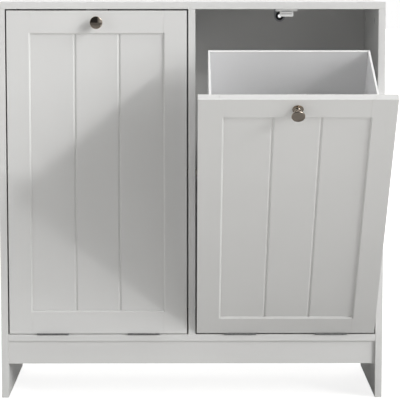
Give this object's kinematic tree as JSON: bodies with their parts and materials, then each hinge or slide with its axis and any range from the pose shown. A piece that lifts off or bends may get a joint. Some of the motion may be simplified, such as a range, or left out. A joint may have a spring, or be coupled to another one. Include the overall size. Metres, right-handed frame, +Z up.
{
  "type": "tilt-out storage cabinet",
  "caption": "White two-compartment cabinet with inset framed doors that tilt out on bottom hinges, each carrying a board bin, with a mushroom knob, magnetic catch and stays",
  "frame": {"origin": "on the floor, at the middle of the whole object's bounding box with the right door open", "axes": "+X to the viewer's right, +Y to the back, +Z up; the doors face -Y"},
  "size_m": [0.82, 0.8045, 0.85],
  "materials": {
    "painted_board": "satin white paint",
    "bin_board": "white melamine",
    "white_plastic": "moulded",
    "pale_nylon": "moulded",
    "zinc_steel": "zinc plated",
    "polished_nickel": "polished",
    "ferrite": "matt",
    "beech": "raw fluted dowel",
    "black_rubber": "matt"
  },
  "bodies": {
    "carcass": {"top_panel": "painted_board", "left_side_panel": "painted_board", "right_side_panel": "painted_board", "center_divider": "painted_board", "bottom_panel": "painted_board", "front_plinth": "painted_board", "back_panel": "bin_board", "cam_locks": "zinc_steel", "cam_bolts": "zinc_steel", "wood_dowels": "beech", "back_panel_nails": "zinc_steel", "left_catch_housing": "white_plastic", "right_catch_housing": "white_plastic", "catch_magnets": "ferrite", "catch_pole_plates": "zinc_steel", "carcass_screws": "zinc_steel", "wall_brackets": "zinc_steel", "wall_bracket_washers": "black_rubber", "hinge_frame_leaves": "zinc_steel", "hinge_pins": "zinc_steel", "stay_pins": "zinc_steel", "stay_sleeves": "pale_nylon"},
    "left_door": {"left_door_left_stile": "painted_board", "left_door_right_stile": "painted_board", "left_door_top_rail": "painted_board", "left_door_bottom_rail": "painted_board", "left_door_panel": "painted_board", "left_knob": "polished_nickel", "left_knob_screw": "zinc_steel", "left_strike_plate": "zinc_steel", "left_door_hinge_leaves": "zinc_steel", "left_door_left_stay": "zinc_steel", "left_door_right_stay": "zinc_steel", "left_door_fasteners": "zinc_steel", "left_bin_left_side": "bin_board", "left_bin_right_side": "bin_board", "left_bin_back": "bin_board", "left_bin_base": "bin_board", "left_bin_edge_band": "white_plastic", "left_bin_angle_strips": "white_plastic"},
    "right_door": {"right_door_left_stile": "painted_board", "right_door_right_stile": "painted_board", "right_door_top_rail": "painted_board", "right_door_bottom_rail": "painted_board", "right_door_panel": "painted_board", "right_knob": "polished_nickel", "right_knob_screw": "zinc_steel", "right_strike_plate": "zinc_steel", "right_door_hinge_leaves": "zinc_steel", "right_door_left_stay": "zinc_steel", "right_door_right_stay": "zinc_steel", "right_door_fasteners": "zinc_steel", "right_bin_left_side": "bin_board", "right_bin_right_side": "bin_board", "right_bin_back": "bin_board", "right_bin_base": "bin_board", "right_bin_edge_band": "white_plastic", "right_bin_angle_strips": "white_plastic"}
  },
  "joints": [
    {"name": "left_door_tilt", "type": "hinge", "parent": "carcass", "child": "left_door", "pos_m": [-0.20125, 0.04997, 0.13925], "axis": [1, 0, 0], "range_deg": [0, 40]},
    {"name": "right_door_tilt", "type": "hinge", "parent": "carcass", "child": "right_door", "pos_m": [0.20125, 0.04997, 0.13925], "axis": [1, 0, 0], "range_deg": [-40, 0]}
  ]
}
